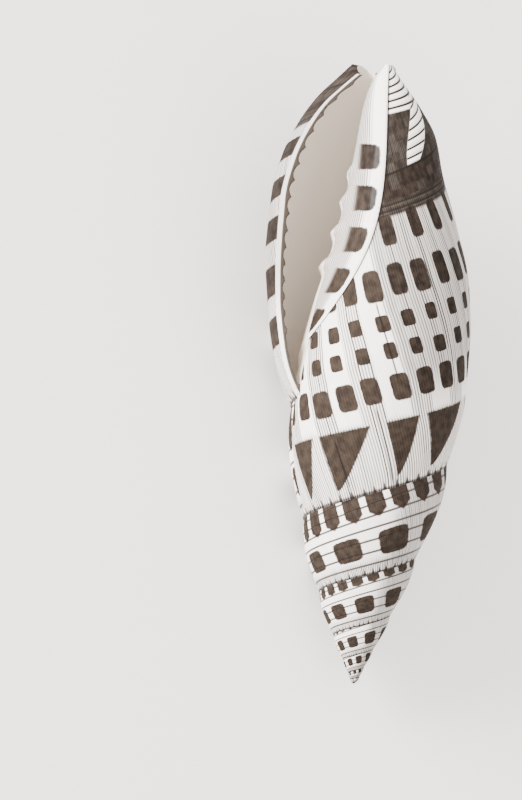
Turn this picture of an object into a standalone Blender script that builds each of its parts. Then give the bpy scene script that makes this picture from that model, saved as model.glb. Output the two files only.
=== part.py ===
"""A mitre shell, lying on its back with its opening up.

The shell is one closed solid. It is modelled on its own axis, from the tip of the spire (height 0) to the
front end (height SHELL_LENGTH), as a whorl that grows round that axis. Growth is counted in turns: 0 at the
edge of the outer lip, -1 one turn before it, and so on back to the tip. The inside, hollow for CAVITY_DEPTH
turns, is a second closed shape, which is cut out of the first one. Lengths are in metres.
"""

import math

import bmesh
import bpy
import numpy as np
from mathutils import Matrix

MM = 0.001

# Driving sizes of the whole shell
SHELL_LENGTH = 110 * MM
LIP_ANGLE = math.radians(152)  # where the outer lip ends, seen from the front end, from +X towards +Z
SUTURE_AT_LIP = 50.3 * MM  # height at which the outer lip leaves the whorl before it
SUTURE_GROWTH = 0.50  # growth of the suture's height in the last turn, as a power of e
SUTURE_SLOWING = 0.0258  # how much faster the young shell grew, for each turn back
SUTURE_SLANT = 0.25  # tilt of each turn of the suture, higher on the right side

# The spire's outline: a cone that rounds over towards its widest radius
SPIRE_WIDEST = 19.5 * MM
SPIRE_HEIGHT = 34.4 * MM
SPIRE_POWER = 1.05
SPIRE_BOW = -0.35 * MM  # how far the middle of the spire bows towards the lip's side
TIP_ROUNDING = 0.7 * MM  # radius of the blunt tip
TIP_LENGTH = 0.4 * MM  # height in which the tip reaches that radius
WHORL_SWELL = 0.085  # how far each whorl bulges between its sutures, as a share of its radius

# The last whorl starts as the spire's own surface and takes its own outline in this many turns and this length
OWN_TURNS = 0.25
OWN_LENGTH = 7 * MM

# Its radius in mm at these shares of the way from its suture to its front end, at each growth
OUTLINE_SHARES = (0.06, 0.15, 0.30, 0.45, 0.60, 0.72, 0.82, 0.90, 0.96, 1.0)
OUTLINES_MM = {
    -1.00: (13.0, 14.5, 15.0, 13.2, 10.1, 7.7, 5.9, 4.5, 2.8, 0.6),
    -0.83: (13.8, 15.0, 15.6, 14.9, 12.8, 10.3, 8.0, 5.8, 3.5, 0.6),
    -0.58: (14.8, 15.9, 16.1, 15.2, 12.4, 10.0, 8.8, 5.9, 2.7, 0.6),
    -0.45: (15.3, 16.6, 17.4, 17.0, 15.0, 12.6, 10.1, 6.9, 3.6, 1.2),
    -0.33: (15.9, 17.5, 18.8, 18.7, 17.2, 15.0, 12.4, 9.8, 7.6, 5.8),
    -0.08: (16.8, 18.7, 20.5, 21.5, 20.9, 19.0, 16.0, 12.6, 9.0, 6.6),
    0.00: (17.4, 19.3, 20.9, 21.4, 20.9, 18.9, 15.9, 12.4, 8.7, 6.0),
}
AXIS_BEND = -2.1 * MM  # how far the front end leans towards the lip
AXIS_BEND_FROM = 76 * MM
NOTCH_DEPTH = 3.2 * MM  # the notch in the front edge, for the animal's siphon
NOTCH_AT = -0.29
NOTCH_WIDTH = 0.075
LIP_CORNER_DROP = 2.2 * MM  # how far the front edge falls away towards the lip
LIP_CORNER_WIDTH = 0.07

# The wall, the opening and the pillar inside
WALL = 1.5 * MM
LIP_WALL = 1.0 * MM
LIP_WALL_REACH = 0.12  # how many turns behind the lip the wall has its full thickness
PILLAR_RADIUS = 2.2 * MM
CAVITY_DEPTH = 2.2  # how many turns the inside is hollow
CAVITY_START = 0.5 * MM  # how far in front of the suture the hollow starts
CAVITY_OVERSHOOT = 6 * MM  # how far the hollow runs out past the front end
PILLAR_SHAVING = 0.08 * MM  # how far the hollow bites into the whorl inside it, so that no film is left
THINNEST_PILLAR = 0.25 * MM
THINNEST_GAP = 0.4 * MM  # where the hollow ends at the back and the front
LIP_CLEARANCE = 0.9 * MM  # how far past the lip the cutter stays off the whorl beside the opening
CANAL_CLOSES_AT = -0.46  # growth at which the canal's slot at the front end closes
CANAL_FADE = 0.12  # over this many turns
CANAL_BACK = 90 * MM  # the canal narrows in front of this height
CANAL_LENGTH = 25 * MM
CANAL_NARROWING = 9 * MM
FOLD_HEIGHTS = (74 * MM, 80 * MM, 85.5 * MM, 90.5 * MM)  # the folds on the pillar, at the lip's plane
FOLD_SIZES = (1.3 * MM, 1.1 * MM, 0.9 * MM, 0.7 * MM)
FOLD_WIDTH = 1.1 * MM
FOLD_START = -0.95  # growth at which the folds start to rise, over FOLD_RISE turns
FOLD_RISE = 0.05
FOLD_MARGIN = 3 * MM  # how far past the first and the last fold the pillar is smooth again
FOLD_PITCH = 14 * MM  # how far a fold runs along the shell in one turn
TOOTH_SIZE = 0.7 * MM  # the teeth on the inside of the lip's edge, one on every other row
TOOTH_REACH = 0.035  # how far back from the edge they run, in turns
TOOTH_SHARES = (0.12, 0.92)  # the stretch of the lip that has them

# The glaze that the animal spreads over the last whorl beside the opening, and its edge
GLAZE_THICKNESS = 0.45 * MM
GLAZE_STEP = 0.03  # width of the step at its edge, in turns
GLAZE_EDGE = -0.82  # growth at which it ends near the front
GLAZE_SPREAD = -0.183  # how far back it ends at GLAZE_BACK, measured from there
GLAZE_BACK = 60.2 * MM
GLAZE_FALL = 13.3 * MM

# How the shell lies: turned round its own axis, then raised at its front end
ROLL = math.radians(-36.59)
PITCH = math.radians(12.47)
RESTS_ON = -0.225  # growth at which one column of points is left out, so that the shell rests on a flat

# Faces
TURN_STEPS = 40
WHORLS_BEFORE_LAST = 6
WHORL_ROWS = (0.0, 0.1, 0.3, 0.55, 0.8)
FRONT_ROWS = 15
FRONT_CROWDING = 0.25  # how much closer the rows lie at the front end
COARSE_BEHIND = 1.1  # this many turns behind the lip, the hollow has only every second step
SAMPLES = 600  # heights at which the hollow's section is worked out
WALL_ROWS = 12
ROWS_BEHIND_FOLDS = 4
ROWS_BEFORE_FOLDS = 5
MOUTH_SPLIT = 3  # how many rows each row of the outer wall becomes at the lip
MOUTH_GROWTHS = (-0.05, -0.025, 0.0, 0.02)

SHELL_COLOUR = (0.80, 0.75, 0.70, 1.0)
SHELL_ROUGHNESS = 0.35


def smooth_step(x):
    x = np.clip(x, 0.0, 1.0)
    return x * x * (3 - 2 * x)


def smooth_curve(knots, values, x):
    """A curve through the values at the knots that never overshoots them."""
    knots = np.asarray(knots, float)
    values = np.asarray(values, float)
    gaps = np.diff(knots)
    rises = np.diff(values) / gaps
    slopes = np.zeros_like(values)
    same_way = rises[1:] * rises[:-1] > 0
    total = rises[1:] + rises[:-1]
    slopes[1:-1] = np.where(same_way, 2 * rises[1:] * rises[:-1] / np.where(same_way, total, 1), 0)
    slopes[0], slopes[-1] = rises[0], rises[-1]
    x = np.clip(x, knots[0], knots[-1])
    i = np.clip(np.searchsorted(knots, x, side="right") - 1, 0, len(gaps) - 1)
    h = gaps[i]
    u = (x - knots[i]) / h
    return (
        values[i] * (1 + 2 * u) * (1 - u) ** 2
        + slopes[i] * h * u * (1 - u) ** 2
        + values[i + 1] * u * u * (3 - 2 * u)
        + slopes[i + 1] * h * u * u * (u - 1)
    )


def angle_at(growth):
    """The angle round the axis. The shell grows clockwise, seen from its front end."""
    return LIP_ANGLE - 2 * math.pi * growth


def spire_radius(height):
    height = np.maximum(height, 0)
    cone = SPIRE_WIDEST * (1 - np.exp(-np.power(height / SPIRE_HEIGHT, SPIRE_POWER)))
    blunt = TIP_ROUNDING**2 * (1 - np.exp(-height / TIP_LENGTH))
    return np.sqrt(cone * cone + blunt)


def suture_height(growth):
    level = SUTURE_AT_LIP * np.exp(SUTURE_GROWTH * growth - SUTURE_SLOWING * growth**2)
    slant = np.cos(angle_at(growth)) - math.cos(LIP_ANGLE)
    return level + SUTURE_SLANT * spire_radius(level) * slant * 0.5


def whorl_radius(growth, height):
    """The outside of a whorl between its suture and the next one."""
    start, end = suture_height(growth), suture_height(growth + 1)
    share = np.clip((height - start) / (end - start), 0, 1)
    return spire_radius(height) * (1 + WHORL_SWELL * 4 * share * (1 - share))


def front_height(growth):
    """The height of the last whorl's front edge, with its notch."""
    notch = NOTCH_DEPTH * math.exp(-(((growth - NOTCH_AT) / NOTCH_WIDTH) ** 2))
    corner = LIP_CORNER_DROP * math.exp(-((growth / LIP_CORNER_WIDTH) ** 2))
    return SHELL_LENGTH - notch - corner


def outline_radius(growth, height):
    """The last whorl's radius read from its outlines."""
    start, end = suture_height(growth), front_height(growth)
    stations = sorted(OUTLINES_MM)
    columns = zip(*(OUTLINES_MM[s] for s in stations))
    radii = [float(smooth_curve(stations, column, growth)) * MM for column in columns]
    share = (height - start) / (end - start)
    return smooth_curve((0.0, *OUTLINE_SHARES), (spire_radius(start), *radii), share)


def fold_relief(growth, height):
    """The folds on the pillar. They rise as the surface turns into the opening."""
    rise = smooth_step((FOLD_START - growth) / FOLD_RISE)
    relief = 0.0
    for fold_height, size in zip(FOLD_HEIGHTS, FOLD_SIZES):
        middle = fold_height + FOLD_PITCH * (growth + 1)
        relief = relief + size * np.exp(-(((height - middle) / FOLD_WIDTH) ** 2))
    return relief * rise


def glaze_relief(growth, height):
    """The raised glaze beside the opening, which ends in a soft step."""
    edge = GLAZE_EDGE + GLAZE_SPREAD * np.exp(-(height - GLAZE_BACK) / GLAZE_FALL)
    return GLAZE_THICKNESS * smooth_step((edge - growth) / GLAZE_STEP + 0.5)


def smooth_body(growth, height):
    """The last whorl, from growth -1 to 0, which starts as the spire's own surface."""
    guide = suture_height(growth) + suture_height(0) - suture_height(-1)
    own = np.maximum(smooth_step((growth + 1) / OWN_TURNS), smooth_step((height - guide) / OWN_LENGTH))
    return whorl_radius(growth, height) * (1 - own) + outline_radius(growth, height) * own


def body_radius(growth, height):
    return smooth_body(growth, height) + fold_relief(growth, height) + glaze_relief(growth, height)


def whorl_surface(growth, height):
    """The outside of a whorl of any growth, with the part that later whorls cover."""
    if growth >= -1:
        return smooth_body(growth, height)
    scale = suture_height(growth) / suture_height(-1)
    covered = smooth_body(-1, np.minimum(height / scale, SHELL_LENGTH)) * scale
    shown = np.minimum(covered, whorl_radius(growth, height))
    return np.where(height < suture_height(growth + 1), shown, covered)


def inner_radius(growth, height):
    """The surface that a whorl is wound on: the whorl before it, and the pillar."""
    before = growth - 1
    if before >= -1:
        return body_radius(before, height)
    pillar = np.minimum(PILLAR_RADIUS, outline_radius(-1, height))
    wound_on = np.maximum(whorl_surface(before, height), pillar)
    return wound_on + fold_relief(before, height) + glaze_relief(before, height)


def wall_thickness(growth):
    edge = smooth_step(-growth / LIP_WALL_REACH)
    young = suture_height(growth) / suture_height(0)
    return (LIP_WALL + (WALL - LIP_WALL) * edge) * math.sqrt(young)


def point(growth, height, radius):
    bend = AXIS_BEND * smooth_step((height - AXIS_BEND_FROM) / (SHELL_LENGTH - AXIS_BEND_FROM))
    up_spire = min(height / SPIRE_HEIGHT, 1)
    bow = SPIRE_BOW * 4 * up_spire * (1 - up_spire)
    angle = angle_at(growth)
    return (bend + bow + radius * math.cos(angle), height, radius * math.sin(angle))


def meridian(growth):
    """Points down the outside at one growth of the last turn, from the tip of the spire to the front edge."""
    points = []
    for turn in range(WHORLS_BEFORE_LAST, 0, -1):
        older = growth - turn
        start, end = suture_height(older), suture_height(older + 1)
        for share in WHORL_ROWS:
            height = start + (end - start) * share
            points.append(point(growth, height, float(whorl_radius(older, height))))
    start = suture_height(growth)
    guide = start + suture_height(0) - suture_height(-1)
    for share in WHORL_ROWS:
        height = start + (guide - start) * share
        points.append(point(growth, height, float(body_radius(growth, height))))
    end = front_height(growth)
    for row in range(FRONT_ROWS + 1):
        share = row / FRONT_ROWS
        height = guide + (end - guide) * (share + FRONT_CROWDING * share * (1 - share))
        points.append(point(growth, height, float(body_radius(growth, height))))
    return points


def outside():
    """The whole shell as if it were filled, with a flat face where the opening will be."""
    mesh = bmesh.new()
    rows = len(WHORL_ROWS)
    seam_rows = WHORLS_BEFORE_LAST * rows + 1
    columns = []
    flat = round((1 + RESTS_ON) * TURN_STEPS)
    for step in range(TURN_STEPS + 1):
        if step == flat:
            continue
        points = meridian(step / TURN_STEPS - 1)
        if step < TURN_STEPS:
            columns.append([mesh.verts.new(p) for p in points])
        else:
            seam = columns[0][rows : rows + seam_rows]
            columns.append(seam + [mesh.verts.new(p) for p in points[seam_rows:]])
    tip = mesh.verts.new((0, suture_height(-WHORLS_BEFORE_LAST - 1) * 0.5, 0))
    end = mesh.verts.new(point(0, front_height(0), 0.0))
    for left, right in zip(columns, columns[1:]):
        mesh.faces.new((tip, left[0], right[0]))
        mesh.faces.new((end, right[-1], left[-1]))
        for i in range(len(left) - 1):
            mesh.faces.new((left[i], left[i + 1], right[i + 1], right[i]))
    first, last = columns[0], columns[-1]
    mesh.faces.new([tip, *first[: rows + 1]])
    mesh.faces.new([*last[seam_rows - 1 :], end, *reversed(first[seam_rows + rows :])])
    return finished(mesh, "shell")


def cavity_section(growth, at_mouth):
    """The hollow's outline at one growth: forwards along the pillar, then back along the outer wall."""
    inside = min(growth, 0.0)
    back = suture_height(inside) + CAVITY_START
    heights = np.linspace(back, SHELL_LENGTH + CAVITY_OVERSHOOT, SAMPLES)
    reach = np.minimum(heights, SHELL_LENGTH)
    if growth > 0:
        inner = body_radius(growth - 1, reach) + LIP_CLEARANCE
    else:
        inner = np.maximum(inner_radius(growth, reach) - PILLAR_SHAVING, THINNEST_PILLAR)
    end = front_height(inside) if inside > -1 else SHELL_LENGTH
    outer = whorl_surface(inside, np.minimum(heights, end)) - wall_thickness(inside)
    closing = smooth_step((CANAL_CLOSES_AT - inside) / CANAL_FADE)
    outer = outer - closing * CANAL_NARROWING * smooth_step((heights - CANAL_BACK) / CANAL_LENGTH)
    gap = outer - inner
    middle = int(np.argmax(gap * (heights < CANAL_BACK)))
    closed_before = np.nonzero(gap[:middle] <= THINNEST_GAP)[0]
    closed_after = np.nonzero(gap[middle:] <= THINNEST_GAP)[0]
    low = heights[closed_before[-1] + 1] if len(closed_before) else heights[0]
    high = heights[middle + closed_after[0] - 1] if len(closed_after) else heights[-1]
    way_out = pillar_rows(growth, low, high)
    rows = WALL_ROWS * (MOUTH_SPLIT if at_mouth else 1)
    shares = np.linspace(0, 1, rows + 1)
    way_back = low + (high - low) * shares
    back_radii = np.interp(way_back, heights, outer)
    if at_mouth:
        toothed = (shares > TOOTH_SHARES[0]) & (shares < TOOTH_SHARES[1])
        size = TOOTH_SIZE * smooth_step(1 + inside / TOOTH_REACH)
        back_radii = back_radii - size * toothed * (np.arange(rows + 1) % 2)
    points = [point(growth, h, r) for h, r in zip(way_out, np.interp(way_out, heights, inner))]
    return points + [point(growth, h, r) for h, r in zip(way_back[::-1], back_radii[::-1])]


def pillar_rows(growth, low, high):
    """Heights of the hollow's rows along the pillar, with one on each fold and one in each gap."""
    tops = np.array(FOLD_HEIGHTS)
    gaps = (tops[1:] + tops[:-1]) / 2
    marks = np.sort([tops[0] - FOLD_MARGIN, *tops, *gaps, tops[-1] + FOLD_MARGIN])
    span = high - low
    first = np.clip(marks[0] + FOLD_PITCH * growth, low + 0.2 * span, low + 0.5 * span)
    last = np.clip(marks[-1] + FOLD_PITCH * growth, first + 0.2 * span, high - 0.1 * span)
    folds = first + (last - first) * (marks - marks[0]) / (marks[-1] - marks[0])
    behind = np.linspace(low, first, ROWS_BEHIND_FOLDS, endpoint=False)
    before = np.linspace(high, last, ROWS_BEFORE_FOLDS, endpoint=False)[::-1]
    return np.concatenate((behind, folds, before))


def hollow():
    """The inside of the shell, which sticks out a little past the lip so that it cuts cleanly."""
    mesh = bmesh.new()
    deepest, coarse, mouth = (round(g * TURN_STEPS) for g in (CAVITY_DEPTH, COARSE_BEHIND, -MOUTH_GROWTHS[0]))
    growths = [-step / TURN_STEPS for step in (*range(deepest, coarse, -2), *range(coarse, mouth, -1))]
    loops = [[mesh.verts.new(p) for p in cavity_section(g, False)] for g in growths]
    loops += [[mesh.verts.new(p) for p in cavity_section(g, True)] for g in MOUTH_GROWTHS]
    on_pillar = len(loops[0]) - WALL_ROWS - 1
    for left, right in zip(loops, loops[1:]):
        split = 1 if len(left) == len(right) else MOUTH_SPLIT
        for i in range(len(left)):
            k = (i + 1) % len(left)
            first = i if i < on_pillar else on_pillar + (i - on_pillar) * split
            last = first + 1 if i < on_pillar else first + split
            far_side = right[first : last + 1] if k else [right[-1], right[0]]
            mesh.faces.new((left[i], left[k], *reversed(far_side)))
    mesh.faces.new(loops[0])
    mesh.faces.new(loops[-1])
    return finished(mesh, "hollow")


def finished(mesh, name):
    """The mesh as an object of triangles that all face outwards."""
    bmesh.ops.triangulate(mesh, faces=mesh.faces)
    bmesh.ops.recalc_face_normals(mesh, faces=mesh.faces)
    data = bpy.data.meshes.new(name)
    mesh.to_mesh(data)
    mesh.free()
    obj = bpy.data.objects.new(name, data)
    bpy.context.scene.collection.objects.link(obj)
    return obj


def lay_down(shell, cutter):
    """Turn the shell as it lies, with its lowest point at height 0 and its middle over the origin."""
    turn = Matrix.Rotation(PITCH, 4, "X") @ Matrix.Rotation(ROLL, 4, "Y")
    cut_shell = shell.evaluated_get(bpy.context.evaluated_depsgraph_get())
    turned = np.array([turn @ v.co for v in cut_shell.data.vertices])
    low, high = turned.min(axis=0), turned.max(axis=0)
    place = Matrix.Translation((-(low[0] + high[0]) / 2, -(low[1] + high[1]) / 2, -low[2]))
    for obj in (shell, cutter):
        obj.matrix_world = place @ turn


def shell_material():
    material = bpy.data.materials.new("shell")
    material.use_nodes = True
    surface = material.node_tree.nodes["Principled BSDF"]
    surface.inputs["Base Color"].default_value = SHELL_COLOUR
    surface.inputs["Roughness"].default_value = SHELL_ROUGHNESS
    surface.inputs["Metallic"].default_value = 0.0
    return material


def main():
    for obj in list(bpy.data.objects):
        bpy.data.objects.remove(obj, do_unlink=True)
    shell = outside()
    cutter = hollow()
    cutter.hide_render = True
    cutter.display_type = "WIRE"
    cut = shell.modifiers.new("hollow", "BOOLEAN")
    cut.operation = "DIFFERENCE"
    cut.object = cutter
    cut.solver = "EXACT"
    lay_down(shell, cutter)
    shell.data.materials.append(shell_material())
    shell.data.shade_smooth()
    shell.data.set_sharp_from_angle(angle=math.radians(40))


main()
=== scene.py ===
# %% [markdown]
# # A mitre shell, lying on its back with its opening up
# A sea shell is the easiest kind of form to describe with a rule: the animal adds to the edge of its shell,
# and the edge swings round an axis while it grows. So this lesson makes the shell flat first, as a sheet
# whose three coordinates are growth, height and radius, and then winds the sheet round the axis. The
# colours are drawn in the same flat coordinates, because the animal painted them at the growing edge too.

# %% Load the frame
import math

import bmesh
import bpy
import numpy as np
from mathutils import Matrix, Vector


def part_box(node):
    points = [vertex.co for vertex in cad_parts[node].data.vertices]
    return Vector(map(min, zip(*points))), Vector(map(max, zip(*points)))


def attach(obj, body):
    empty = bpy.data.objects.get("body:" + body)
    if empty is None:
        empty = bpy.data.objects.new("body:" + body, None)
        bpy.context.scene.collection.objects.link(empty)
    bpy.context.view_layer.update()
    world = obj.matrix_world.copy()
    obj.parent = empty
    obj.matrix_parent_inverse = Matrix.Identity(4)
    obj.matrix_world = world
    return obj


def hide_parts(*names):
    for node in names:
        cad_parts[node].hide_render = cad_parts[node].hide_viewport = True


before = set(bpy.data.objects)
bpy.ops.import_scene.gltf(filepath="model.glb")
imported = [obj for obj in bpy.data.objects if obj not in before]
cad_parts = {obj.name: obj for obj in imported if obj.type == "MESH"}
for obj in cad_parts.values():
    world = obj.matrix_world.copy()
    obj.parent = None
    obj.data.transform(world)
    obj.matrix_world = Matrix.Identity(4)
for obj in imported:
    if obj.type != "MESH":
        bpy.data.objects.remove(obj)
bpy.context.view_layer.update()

# %% [markdown]
# ## The driving sizes
# All the sizes are those of the solid model. Growth is counted in turns: 0 at the edge of the outer lip, -1
# one turn before it, and so on back to the tip of the spire. Height runs along the axis from the tip, at 0,
# to the front end, at 110 mm.

# %% Sizes of the whole shell
MM = 0.001
SHELL_LENGTH = 110 * MM
LIP_ANGLE = math.radians(152)
SUTURE_AT_LIP = 50.3 * MM
SUTURE_GROWTH = 0.50
SUTURE_SLOWING = 0.0258
SUTURE_SLANT = 0.25
SPIRE_WIDEST = 19.5 * MM
SPIRE_HEIGHT = 34.4 * MM
SPIRE_POWER = 1.05
SPIRE_BOW = -0.35 * MM
TIP_ROUNDING = 0.7 * MM
TIP_LENGTH = 0.4 * MM
WHORL_SWELL = 0.085
OUTLINE_SHARES = (0.06, 0.15, 0.30, 0.45, 0.60, 0.72, 0.82, 0.90, 0.96, 1.0)
OUTLINES_MM = {
    -1.00: (13.0, 14.5, 15.0, 13.2, 10.1, 7.7, 5.9, 4.5, 2.8, 0.6),
    -0.83: (13.8, 15.0, 15.6, 14.9, 12.8, 10.3, 8.0, 5.8, 3.5, 0.6),
    -0.58: (14.8, 15.9, 16.1, 15.2, 12.4, 10.0, 8.8, 5.9, 2.7, 0.6),
    -0.45: (15.3, 16.6, 17.4, 17.0, 15.0, 12.6, 10.1, 6.9, 3.6, 1.2),
    -0.33: (15.9, 17.5, 18.8, 18.7, 17.2, 15.0, 12.4, 9.8, 7.6, 5.8),
    -0.08: (16.8, 18.7, 20.5, 21.5, 20.9, 19.0, 16.0, 12.6, 9.0, 6.6),
    0.00: (17.4, 19.3, 20.9, 21.4, 20.9, 18.9, 15.9, 12.4, 8.7, 6.0),
}
AXIS_BEND = -2.1 * MM
AXIS_BEND_FROM = 76 * MM
ROLL = math.radians(-36.59)
PITCH = math.radians(12.47)
print("a shell of", SHELL_LENGTH * 1000, "mm with outlines at", len(OUTLINES_MM), "growths")

# %% Smooth steps and curves


def smooth_step(x):
    x = np.clip(x, 0.0, 1.0)
    return x * x * (3 - 2 * x)


def smooth_curve(knots, values, x):
    """A curve through the values at the knots that never overshoots them."""
    knots = np.asarray(knots, float)
    values = np.asarray(values, float)
    gaps = np.diff(knots)
    rises = np.diff(values) / gaps
    slopes = np.zeros_like(values)
    same_way = rises[1:] * rises[:-1] > 0
    total = rises[1:] + rises[:-1]
    slopes[1:-1] = np.where(same_way, 2 * rises[1:] * rises[:-1] / np.where(same_way, total, 1), 0)
    slopes[0], slopes[-1] = rises[0], rises[-1]
    x = np.clip(x, knots[0], knots[-1])
    i = np.clip(np.searchsorted(knots, x, side="right") - 1, 0, len(gaps) - 1)
    h = gaps[i]
    u = (x - knots[i]) / h
    return (
        values[i] * (1 + 2 * u) * (1 - u) ** 2
        + slopes[i] * h * u * (1 - u) ** 2
        + values[i + 1] * u * u * (3 - 2 * u)
        + slopes[i + 1] * h * u * u * (u - 1)
    )


print("half way up a smooth step:", smooth_step(0.5))

# %% [markdown]
# ## The rule of growth
# The suture is the seam where a whorl meets the one before it. Its height grows by the same factor in each
# turn, which is what makes a spiral look like itself at every size. The spire's outline is a cone that
# rounds over. The last whorl is different: it narrows to the front end, so its radius is read from a few
# outlines.

# %% The spire's own rule


def angle_at(growth):
    return LIP_ANGLE - 2 * math.pi * growth


def spire_radius(height):
    height = np.maximum(height, 0)
    cone = SPIRE_WIDEST * (1 - np.exp(-np.power(height / SPIRE_HEIGHT, SPIRE_POWER)))
    blunt = TIP_ROUNDING**2 * (1 - np.exp(-height / TIP_LENGTH))
    return np.sqrt(cone * cone + blunt)


def suture_height(growth):
    level = SUTURE_AT_LIP * np.exp(SUTURE_GROWTH * growth - SUTURE_SLOWING * growth**2)
    slant = np.cos(angle_at(growth)) - math.cos(LIP_ANGLE)
    return level + SUTURE_SLANT * spire_radius(level) * slant * 0.5


def whorl_radius(growth, height):
    start, end = suture_height(growth), suture_height(growth + 1)
    share = np.clip((height - start) / (end - start), 0, 1)
    return spire_radius(height) * (1 + WHORL_SWELL * 4 * share * (1 - share))


print("sutures at", [round(float(suture_height(-turn)) * 1000, 1) for turn in range(7)], "mm")

# %% [markdown]
# The front edge of the last whorl has a notch for the siphon. Beside the opening the animal has spread a
# layer of glaze over the whorl, and four folds run along the pillar into the opening.

# %% The last whorl's rule
NOTCH_DEPTH = 3.2 * MM
NOTCH_AT = -0.29
NOTCH_WIDTH = 0.075
LIP_CORNER_DROP = 2.2 * MM
LIP_CORNER_WIDTH = 0.07
FOLD_HEIGHTS = (74 * MM, 80 * MM, 85.5 * MM, 90.5 * MM)
FOLD_SIZES = (1.3 * MM, 1.1 * MM, 0.9 * MM, 0.7 * MM)
FOLD_WIDTH = 1.1 * MM
FOLD_PITCH = 14 * MM
GLAZE_THICKNESS = 0.45 * MM
GLAZE_EDGE = -0.82
GLAZE_SPREAD = -0.183
GLAZE_BACK = 60.2 * MM
GLAZE_FALL = 13.3 * MM
GLAZE_STEP = 0.012


def front_height(growth):
    notch = NOTCH_DEPTH * math.exp(-(((growth - NOTCH_AT) / NOTCH_WIDTH) ** 2))
    corner = LIP_CORNER_DROP * math.exp(-((growth / LIP_CORNER_WIDTH) ** 2))
    return SHELL_LENGTH - notch - corner


def outline_radius(growth, height):
    start, end = suture_height(growth), front_height(growth)
    stations = sorted(OUTLINES_MM)
    columns = zip(*(OUTLINES_MM[s] for s in stations))
    radii = [float(smooth_curve(stations, column, growth)) * MM for column in columns]
    share = (height - start) / (end - start)
    return smooth_curve((0.0, *OUTLINE_SHARES), (spire_radius(start), *radii), share)


def fold_relief(growth, height):
    rise = smooth_step((-0.95 - growth) / 0.05)
    relief = 0.0
    for fold_height, size in zip(FOLD_HEIGHTS, FOLD_SIZES):
        middle = fold_height + FOLD_PITCH * (growth + 1)
        relief = relief + size * np.exp(-(((height - middle) / FOLD_WIDTH) ** 2))
    return relief * rise


def glaze_edge(height):
    return GLAZE_EDGE + GLAZE_SPREAD * np.exp(-(height - GLAZE_BACK) / GLAZE_FALL)


def glaze_cover(growth, height):
    """1 under the glaze, 0 outside it."""
    return smooth_step((glaze_edge(height) - growth) / GLAZE_STEP + 0.5)


def smooth_body(growth, height):
    guide = suture_height(growth) + suture_height(0) - suture_height(-1)
    own = np.maximum(smooth_step((growth + 1) / 0.25), smooth_step((height - guide) / (7 * MM)))
    return whorl_radius(growth, height) * (1 - own) + outline_radius(growth, height) * own


def body_radius(growth, height):
    raised = GLAZE_THICKNESS * glaze_cover(growth, height)
    return smooth_body(growth, height) + fold_relief(growth, height) + raised


print("radius at the middle of the lip:", round(float(body_radius(0, 80 * MM)) * 1000, 1), "mm")

# %% [markdown]
# ## The flat sheet
# A grid of faces could be wound directly, but then the rule and the grid would be tangled. Here the grid is
# flat data: a point's x is its growth, y its height and z its radius. The columns of one turn carry all the
# whorls above each other, and the last column's whorls are the first column's, one whorl on. Two values go
# with each corner of each face, for the colours: the chart, which is growth, distance from the suture and
# height, and the side, which is 0 outside, 1 on the pillar and 2 on the inside of the wall. They sit on
# corners because a Boolean keeps corner values when it cuts a face. A real lip isn't knife sharp, so the
# last columns crowd together and round over to the edge.

# %% Distance from the suture, on the scale of the last whorl
WHORL_SHRINK = 0.69  # the pattern's size on each whorl, as a share of the next one's
SCALE_CHANGES_AT = -1.078  # growth where the front of the shell shows the left edge of a whorl


def pattern_scale(growth):
    """The pattern's size. It shrinks on the hidden half of each turn, so that rows run level in front."""
    back = SCALE_CHANGES_AT - growth
    steps = np.floor(back) + smooth_step(2 * (back - np.floor(back)))
    return WHORL_SHRINK ** np.maximum(steps, 0)


def suture_distance(growth, height):
    return (height - suture_height(growth)) / pattern_scale(growth)


four_scales = [round(float(pattern_scale(-0.83 - whorl)), 2) for whorl in range(4)]
print("pattern scale on four whorls:", four_scales)

# %% The outside as a flat sheet
COLUMNS = 200
WHORLS_BEFORE_LAST = 6
WHORL_ROWS = 30
FRONT_ROWS = 122
ROW_CROWDING = 1.25  # above 1, rows crowd towards the suture
LIP_COLUMNS = (-0.0038, -0.0026, -0.0016, -0.0008, -0.0003, 0.0)
LIP_ROUNDING = 0.35 * MM
LIP_ROUNDING_REACH = 0.005  # turns


def round_over(growth):
    """A quarter circle that drops from 0 to 1 at the lip's edge."""
    x = np.clip(1 + growth / LIP_ROUNDING_REACH, 0, 1)
    return 1 - np.sqrt(1 - x * x)


def column_rows(growth):
    """Growth, height and radius down one column, from the tip to the front edge."""
    shares = (np.arange(WHORL_ROWS) / WHORL_ROWS) ** ROW_CROWDING
    parts = []
    for turn in range(WHORLS_BEFORE_LAST, 0, -1):
        older = growth - turn
        start, end = suture_height(older), suture_height(older + 1)
        heights = start + (end - start) * shares
        parts.append((np.full(WHORL_ROWS, older), heights, whorl_radius(older, heights)))
    start, end = suture_height(growth), front_height(growth)
    guide = start + suture_height(0) - suture_height(-1)
    front = np.linspace(0, 1, FRONT_ROWS + 1)
    ahead = guide + (end - guide) * (front + 0.25 * front * (1 - front))
    heights = np.concatenate((start + (guide - start) * shares, ahead))
    rounding = LIP_ROUNDING * round_over(growth) * smooth_step((heights - start) / (3 * MM))
    parts.append((np.full(len(heights), growth), heights, body_radius(growth, heights) - rounding))
    return np.concatenate([np.stack(part, axis=1) for part in parts])


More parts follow.
